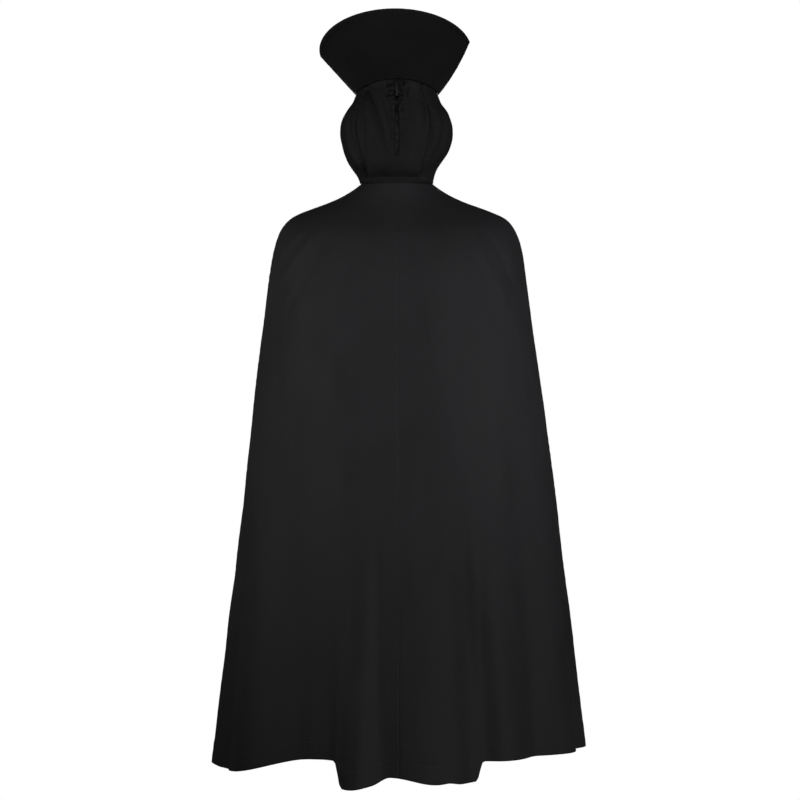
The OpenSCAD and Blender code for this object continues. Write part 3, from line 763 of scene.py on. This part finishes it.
def zip_puckers(p, x, z):
    """The cloth knotted and gathered beside the zip's top, and buckled along its edges."""
    slot = np.abs(p[..., 0])
    knot = smooth((z - 112) / 14) * hill(slot, 0, 13) * (2.6 * twist(x * 1.6, z) + 1.6)
    gather = smooth((z - 138) / 16) * hill(slot, 10, 9) * 2.6 * twist(x * 2.4 + 60, z * 1.2)
    waves = np.sin(z / 2.9 + 2.2 * twist(z * 0.4, 0 * z))
    buckle = -1.3 * smooth((z - 50) / 14) * hill(slot, 7, 7) * waves
    welt = 0.9 * smooth((z - 34) / 8) * hill(slot, 6.2, 1.8)
    return knot + gather + buckle + welt


def back_relief(side):
    def relief(u, v, p):
        x, z = p[..., 0] * side, p[..., 2]
        total = 0.5 * drag(x * 2, z * 2) + 0.12 * small(x * 2, z)
        drawn = on_side(p, side)
        for line in COWL_CREASES[side]:
            total = total + crease(drawn, *line)
        total = panel_seam(total, (1 - u) * DEGREE_WIDTH * SIDE_FROM[side], x, z)
        total = total + zip_puckers(p, x, z)
        total = total + NAPE_ROLL * hill(z, 17, 11) * smooth((1 - u) / 0.2)
        return total * smooth((z + 2) / 14)

    return relief


def side_relief(side):
    def relief(u, v, p):
        z = p[..., 2]
        a = side_angle(side, u, v)
        swell = smooth((z - 12) / 50) * smooth((seam_height(a) + 2 - z) / 70)
        puff = 4.2 * np.sin(np.pi * np.clip(u * 1.5, 0, 1)) * swell
        total = puff + 0.5 * drag(a * 2.2, z) + 0.12 * small(a * 2, z)
        for at, spread, height in SIDE_FOLDS[side]:
            total = total + height * swell * hill(a, at + (z - 90) * 0.05, spread)
        total = total + LOWER_LEAN[side] * hill(z, 34, 26)
        total = total - BROW_HOLLOW * hill(z, 152, 16) * np.sin(np.pi * u)
        seam = u * SIDE_WIDTH
        total = panel_seam(total, seam, a * 1.5, z)
        ends = hill(z, seam_height(a), 9) + hill(z, FOOT_Z, 10)
        return total + 0.6 * pucker(a * 1.6, 0 * z) * ends * smooth(seam / 12)

    return relief


def cowl_bend(piece):
    """Works out the neck's backward lean, but only bakes the piece's placement into its mesh."""
    tilt = np.array([0, -sind(NECK_TILT), cosd(NECK_TILT)])
    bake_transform(piece)
    return piece


COWL_PANELS = (("back", cowl_back_base, back_relief, 38), ("side", cowl_side_base, side_relief, 84))

cowl_rows = np.linspace(0, 1, 92)
cowl_backs, cowl_sides = {}, {}
for name, side in SIDES.items():
    for (key, base, relief, columns), store in zip(COWL_PANELS, (cowl_backs, cowl_sides)):
        face, us = raised(base(side), relief(side)), np.linspace(0, 1, columns)
        if side < 0:
            face, us = mirrored(face), us[::-1]
        piece = cloth(f"cowl_{key}_cloth_{name}", face, us, cowl_rows, satin_painted_shade, 0.8)
        cowl_bend(piece)
        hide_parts(f"cowl_{key}_{name}")
        store[side] = (piece, face)


def cowl_line(panels, side, us, vs):
    """A line on one cowl panel; a mirrored face's normals are turned round."""
    points, normals = line_on(panels[side][1], us, vs)
    return points, normals * side


cowl_lines = []
for side in (LEFT, RIGHT):
    vs = np.linspace(0.02, 0.985, 300)
    cowl_lines.append(cowl_line(cowl_backs, side, 0.955, vs))
    cowl_lines.append(cowl_line(cowl_backs, side, 0.045, np.linspace(0.03, 0.8, 260)))
    cowl_lines.append(cowl_line(cowl_sides, side, np.linspace(0.02, 0.97, 300), 0.975))
    cowl_lines.append(cowl_line(cowl_sides, side, 0.965, vs))
cowl_stitches = cowl_bend(stitched("stitches_cowl", cowl_lines, thread, 3.6, 2.4, 0.25))


# ---------------------------------------------------------------- crown, head band and piping

CROWN_W, CROWN_D = COWL_TOP - 4.5, COWL_BACK - 3.5
BAND_HEIGHT = 22
BAND_INSET = 3.6     # of the head band, from the crown's edge
LIP_REACH = 5.5      # how far down the band's lip goes before it lies against the cowl
LIP_FLARE = 6.4
PIPING_R = 2.2


def crown_face(x, y):
    """The crown over the unit square, with its front foot let out to meet the cowl."""
    cx, cy = x * np.sqrt(1 - y * y / 2), y * np.sqrt(1 - x * x / 2)
    rim = np.clip(cx * cx + cy * cy, 0, 1)
    k = np.sqrt(1 - rim)
    foot = SEAM_Z + SEAM_RISE * cy * cy
    front = smooth((cy * 100 - 14) / 24) * rim**3
    wave = 0.5 * drag(cx * 60, cy * 60)
    z = foot + (CROWN_TOP - foot) * k + wave * k - 1.6 * front
    return point((CROWN_W + 4.2 * front + wave) * cx, (CROWN_D + 2.6 * front + wave) * cy, z)


steps = np.sin(np.linspace(-np.pi / 2, np.pi / 2, 60))
crown = patch_mesh("crown_cloth", [crown_face(*grid(steps, -steps))], satin_painted_shade, 0.8)
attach(crown, "cowl")
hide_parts("cowl_crown")


def head_band_face(u, v):
    """The band up to v 1, and below it the lip that is sewn in with the cowl behind the face."""
    a = 180 + 180 * u
    rise = np.arcsin(np.clip((1 - v) * BAND_HEIGHT / (CROWN_TOP - seam_height(a)), 0, 1))
    lip = np.clip(v - 1, 0, 1) * BAND_HEIGHT * smooth((cosd(a) + 0.5) / 0.15)
    flare = LIP_FLARE * smooth(lip / LIP_REACH)
    depth = CROWN_D - BAND_INSET + flare
    x, y = oval(CROWN_W - BAND_INSET + flare, depth, depth, a)
    height = 0.5 + np.clip(1 - v, 0, 1) * BAND_HEIGHT - lip
    return point(x * np.cos(rise), y * np.cos(rise), seam_height(a) + height)


band_vs = joined(np.linspace(0, 1, 10), np.linspace(1, 1.25, 7))
head_band = cloth("head_band_cloth", head_band_face, np.linspace(-0.985, 0.985, 200), band_vs, lining, 1.0)
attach(head_band, "cowl")
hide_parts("head_band")


def face_edge(side):
    """The middle of the piping beside one side panel, from its top to its foot."""
    vs = np.linspace(0.03, 0.985, 70)
    face = cowl_sides[side][1]
    edge = face(1.0, vs)
    along = unit(edge - face(0.98, vs))
    return edge + (PIPING_R + 0.2) * along


# The piping goes up one side of the face, over the brow and down the other side.
brow_a = np.linspace(127, 233, 60)
brow_x, brow_y = oval(CROWN_W + 2.4, CROWN_D + 1.2, CROWN_D + 1.2, brow_a)
brow = point(brow_x, brow_y, seam_height(brow_a) - 3.4)
route = np.concatenate([face_edge(RIGHT)[::-1], brow, face_edge(LEFT)])
for _ in range(3):
    route[1:-1] = (route[:-2] + 2 * route[1:-1] + route[2:]) / 4
piping = cowl_bend(tube("face_piping_cloth", route, PIPING_R, satin_painted_shade, (0.05, 1, 0.1), 12))
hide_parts("face_piping")


# ---------------------------------------------------------------- fan collar

FAN_HALF, FAN_BACK = 147, 187
FAN_SIDE_Z, FAN_BACK_Z = 256, 304
FAN_SHIFT = -3
CORNER_RIGHT, CORNER_LEFT = 76, 97
FAN_FOOT_END = 97
FAN_FOOT = (COWL_TOP + 1.5, COWL_BACK + 2, COWL_BACK + 2)
SHELL_T = 0.7
FAN_T = 4.8
FAN_LENGTH = 480         # length of the fan round the head, and its height, in millimetres
FAN_HEIGHT = 160
STAYS = 7
STAY_MARGIN = 0.06       # u between the fan's ends and the outermost stays

fan_wave = Ripple(110)
fan_small = Ripple(22)


def fan_base(u, v):
    u, v = np.broadcast_arrays(u, v)
    a = lerp(lerp(-CORNER_LEFT, -FAN_FOOT_END, v), lerp(CORNER_RIGHT, FAN_FOOT_END, v), u)
    foot = point(*oval(*FAN_FOOT, a), seam_height(a))
    x, y = oval(FAN_HALF, FAN_BACK, FAN_BACK, a)
    rim = point(x + FAN_SHIFT, y, lerp(FAN_SIDE_Z, FAN_BACK_Z, cosd(a)))
    return lerp(rim, foot, v[..., None])


def fan_relief(u, v, p):
    """Slight waves, the lines of the stays underneath, and puckers along the seam at the foot."""
    around = u * FAN_LENGTH
    stays = sum(hill(u, lerp(STAY_MARGIN, 1 - STAY_MARGIN, i / (STAYS - 1)), 0.007) for i in range(STAYS))
    total = 0.35 * fan_wave(around, v * 150) * (1 - v) + 0.25 * stays * smooth((1 - v) / 0.2)
    total = total + 0.16 * fan_small(around, v * FAN_HEIGHT)
    return total + 0.3 * pucker(around, 0 * v) * hill(v, 1, 0.05)


def fan_inner_relief(u, v, p):
    return -0.2 * fan_small(u * FAN_LENGTH, v * FAN_HEIGHT)


fan_shell = raised(fan_base, lambda u, v, p: fan_relief(u, v, p) + 0.15)
fan_inner = raised(sunk(fan_base, FAN_T), fan_inner_relief)
fan_us, fan_vs = np.linspace(0, 1, 150), np.linspace(0, 1, 44)
shell = cloth("fan_shell_cloth", fan_shell, fan_us, fan_vs, satin_painted_shade, SHELL_T)
facing_points = fan_inner(*grid(fan_us, fan_vs))[::-1]
facing = patch_mesh("fan_facing_cloth", [facing_points], lining, SHELL_T)
for piece, node_name, slot in ((shell, "fan_shell", "satin"), (facing, "fan_facing", "lining")):
    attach(piece, "cowl")
    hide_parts(node_name)

# The binding's outline: depth through the fan, and how far it stands beyond the edge.
BINDING_HALF = [
    (-0.05, -8.4), (-0.55, -8.2), (-0.75, -7.4), (-0.8, -4), (-0.95, 0), (-0.5, 1.3), (0.8, 1.9),
]
BINDING = [*BINDING_HALF, (FAN_T / 2, 2.1), *((FAN_T - d, o) for d, o in BINDING_HALF[::-1])]


def rim_out(u, e=0.01):
    """The direction that leaves the cloth at the rim."""
    return unit(fan_base(u, 0.0) - fan_base(u, e))


def end_out(u, v, e=0.01):
    """The direction that leaves the cloth at one of the fan's two ends, u 0 or 1."""
    inner = e if u < 0.5 else -e
    down = unit(fan_base(u, v + e) - fan_base(u, v))
    across = unit(fan_base(u, v) - fan_base(u + inner, v))
    return unit(across - (across @ down) * down)


def end_rows(u):
    """Rows of u, v and outward direction from the foot of one end, up and round its corner."""
    rows = [(u, v, end_out(u, v)) for v in np.linspace(0.985, 0.02, 40)]
    corner = np.linspace(0, 1, 7)
    return rows + [(u, 0.0, unit(lerp(end_out(u, 0.0), rim_out(u), k))) for k in corner]


def edge_rows():
    """The fan's free edge: up the left-hand end, along the rim and down the right-hand end."""
    rim = [(u, 0.0, rim_out(u)) for u in np.linspace(0.008, 0.992, 170)]
    return end_rows(0.0) + rim + end_rows(1.0)[::-1]


rings = []
for number, (u, v, out) in enumerate(edge_rows()):
    at, inward = fan_base(u, v), -outward(fan_base, u, v)
    wobble = 0.12 * math.sin(number * 1.9) + 0.1 * math.sin(number * 0.7)
    ring = []
    for depth, beyond in BINDING:
        on_a_face = abs(depth - FAN_T / 2) > 2
        ring.append(at + (depth + wobble * on_a_face) * inward + beyond * out)
    rings.append(ring[::-1])
binding = patch_mesh("fan_binding_cloth", [np.array(rings)], satin_painted_shade)
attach(binding, "cowl")
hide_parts("fan_binding")

# The binding is stitched on through its outer layer, and the shell is stitched along its foot.
fan_outer_line = raised(fan_base, lambda u, v, p: fan_relief(u, v, p) + 0.95)
rim_us = np.linspace(0.02, 0.98, 500)
fan_lines = [line_on(fan_outer_line, rim_us, 0.044), line_on(fan_shell, rim_us, 0.972)]
for u in (0.013, 0.987):
    fan_lines.append(line_on(fan_outer_line, u, np.linspace(0.06, 0.97, 200)))
fan_stitches = stitched("stitches_fan", fan_lines, thread, 3.8, 2.6, 0.28)
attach(fan_stitches, "cowl")


# ---------------------------------------------------------------- zip

ZIP_TOP = SEAM_Z + SEAM_RISE - 4
TAPE_Y = -COWL_BACK + 2.6
TAPE_T = 0.5
TAPE_IN, TAPE_OUT = -0.4, 13             # x of the tape's edges, from the middle outwards
TAPE_TOP, TAPE_FOOT = ZIP_TOP + 3.4, ZIP_BOTTOM - 12
PITCH, TOOTH_T = 2.4, 2.0
TOOTH_X = 0.9

# A tooth's outline: x from the teeth's line, and z from its foot. The two rows mesh in the middle.
TOOTH = [(-1.5, 0.3), (-1.2, 0.05), (1.75, 0.15), (1.75, 1.0), (-1.2, 1.1), (-1.5, 0.85)]


def tape_face(side):
    """A tape with a woven ridge and groove beside its inner edge."""

    def face(u, v):
        ridge = 0.25 * hill(u, 0.04, 0.03) - 0.1 * hill(u, 0.12, 0.03)
        return point(side * lerp(TAPE_IN, TAPE_OUT, u), TAPE_Y - ridge, lerp(TAPE_TOP, TAPE_FOOT, v))

    return face


def tooth_faces(base, side):
    """The faces of one tooth, whose outer outline starts at base and whose inner one follows it."""
    sides = len(TOOTH)
    outer = list(range(base, base + sides))
    inner = [corner + sides for corner in outer]
    after = [(i + 1) % sides for i in range(sides)]
    faces = [outer, inner[::-1]] + [[outer[i], inner[i], inner[k], outer[k]] for i, k in enumerate(after)]
    return faces if side > 0 else [face[::-1] for face in faces]


def tooth_row(name, side):
    """One side's teeth; the left-hand row stands half a pitch higher."""
    middle = TAPE_Y + TAPE_T / 2
    shift = 0 if side > 0 else 0.5
    verts, faces = [], []
    for number in range(int((ZIP_TOP - ZIP_BOTTOM) // PITCH)):
        foot = ZIP_BOTTOM + (number + shift) * PITCH
        faces += tooth_faces(len(verts), side)
        for y in (middle - TOOTH_T / 2, middle + TOOTH_T / 2):
            verts += [(side * (TOOTH_X + x), y, foot + z) for x, z in TOOTH]
    return make_object(name, verts, faces, None, black_metal, False)


for name, side in SIDES.items():
    us = np.linspace(0, 1, 16)[::side]
    tape = cloth(f"zip_tape_cloth_{name}", tape_face(side), us, np.linspace(0, 1, 110), tape_cloth, TAPE_T)
    cowl_bend(tape)
    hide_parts(f"zip_tape_{name}")
    teeth = cowl_bend(tooth_row(f"zip_row_{name}", side))
    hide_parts(f"zip_teeth_{name}")


# ---------------------------------------------------------------- carried-over CAD nodes

CARRIED = {
    "press_stud": black_metal,
    "press_socket": black_metal,
    "fan_interlining": buckram,
    "fan_stays": boning,
    "fan_wire": spring_wire,
    "zip_end_stop": black_metal,
    "zip_slider": black_metal,
    "zip_pull": black_metal,
}
for name, material in CARRIED.items():
    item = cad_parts[name]
    if not item.material_slots:
        item.data.materials.append(material)
    for slot in item.material_slots:
        slot.material = material


# ---------------------------------------------------------------- cape pieces and stitches, side by side

for name, side in SIDES.items():
    back, front, hem_band, edge_band = cape_pieces[name]
    back_sewn, front_sewn = cape_stitches[name]


# ---------------------------------------------------------------- studio

SHOWN_WIDTH = 1.56       # metres that the camera shows at the neck's distance
DISTANCE = 4.3
VIEW_X, VIEW_Z = 0.006, -0.423
FLOOR_Z, FLOOR_RADIUS = -1.46, 14
WHITE = (1, 1, 1, 1)
SHOWN = 1.0              # how bright the floor and the room look,
FLOOR_LIGHT = 0.06       # and how strongly each of them lights the cloth
ROOM_LIGHT = 0.05

scene = bpy.context.scene
camera = bpy.data.objects.new("camera", bpy.data.cameras.new("camera"))
scene.collection.objects.link(camera)
camera.location = (VIEW_X, -DISTANCE, VIEW_Z)
camera.rotation_euler = (math.pi / 2, 0, 0)
camera.data.sensor_width = 36
camera.data.angle = 2 * math.atan(SHOWN_WIDTH / 2 / DISTANCE)
camera.data.clip_end = 60
scene.camera = camera


def light_level(tree, lit):
    """A strength that is SHOWN where it is seen directly, and lit where it lights the cloth."""
    path = tree.nodes.new("ShaderNodeLightPath")
    levels = {"To Min": lit, "To Max": SHOWN}
    seen = {"Value": path.outputs["Is Camera Ray"]}
    return add_node(tree, "ShaderNodeMapRange", seen, **levels).outputs["Result"]


def glow(name, lit):
    """An even pale tone that lights the cloth less than it shows."""
    material = bpy.data.materials.new(name)
    material.use_nodes = True
    tree = material.node_tree
    tree.nodes.clear()
    emit = add_node(tree, "ShaderNodeEmission", {"Strength": light_level(tree, lit)}, Color=WHITE)
    out = tree.nodes.new("ShaderNodeOutputMaterial")
    tree.links.new(emit.outputs[0], out.inputs["Surface"])
    return material


bpy.ops.mesh.primitive_circle_add(
    vertices=96, radius=FLOOR_RADIUS, fill_type="NGON", location=(0, 0, FLOOR_Z)
)
floor = bpy.context.object
floor.name = "floor"
floor.data.materials.append(glow("floor", FLOOR_LIGHT))

world = bpy.data.worlds.new("studio")
scene.world = world
world.use_nodes = True
background = next(n for n in world.node_tree.nodes if n.type == "BACKGROUND")
world.node_tree.links.new(light_level(world.node_tree, ROOM_LIGHT), background.inputs["Strength"])
background.inputs["Color"].default_value = WHITE


def softbox(name, place, target, size, power, colour=(1, 1, 1), spread=180):
    """A rectangular lamp of a size in metres and a power in watts, aimed at a target."""
    light = bpy.data.lights.new(name, "AREA")
    light.spread = math.radians(spread)
    light.shape = "RECTANGLE"
    light.size, light.size_y = size
    light.energy = power
    light.color = colour
    item = bpy.data.objects.new(name, light)
    scene.collection.objects.link(item)
    item.location = place
    aim = Vector(target) - Vector(place)
    item.rotation_euler = aim.to_track_quat("-Z", "Y").to_euler()


softbox("key", (-3.25, -2.1, -0.17), (0, 0, -0.2), (1.5, 0.8), 5.2, spread=38)
softbox("fill", (3.1, -2.35, -0.2), (0, 0, -0.25), (1.5, 0.8), 6.3, (0.98, 0.99, 1.0), spread=38)
softbox("low", (2.0, -2.8, -1.22), (0.12, 0, -1.22), (1.0, 0.2), 0.35, spread=16)
softbox("high", (0, -4.2, 1.6), (0, 0, -0.3), (2.0, 1.2), 6)
softbox("front", (0, 4.6, 0.3), (0, 0, -0.4), (1.6, 1.8), 180)

scene.view_settings.view_transform = "Standard"
scene.view_settings.look = "None"
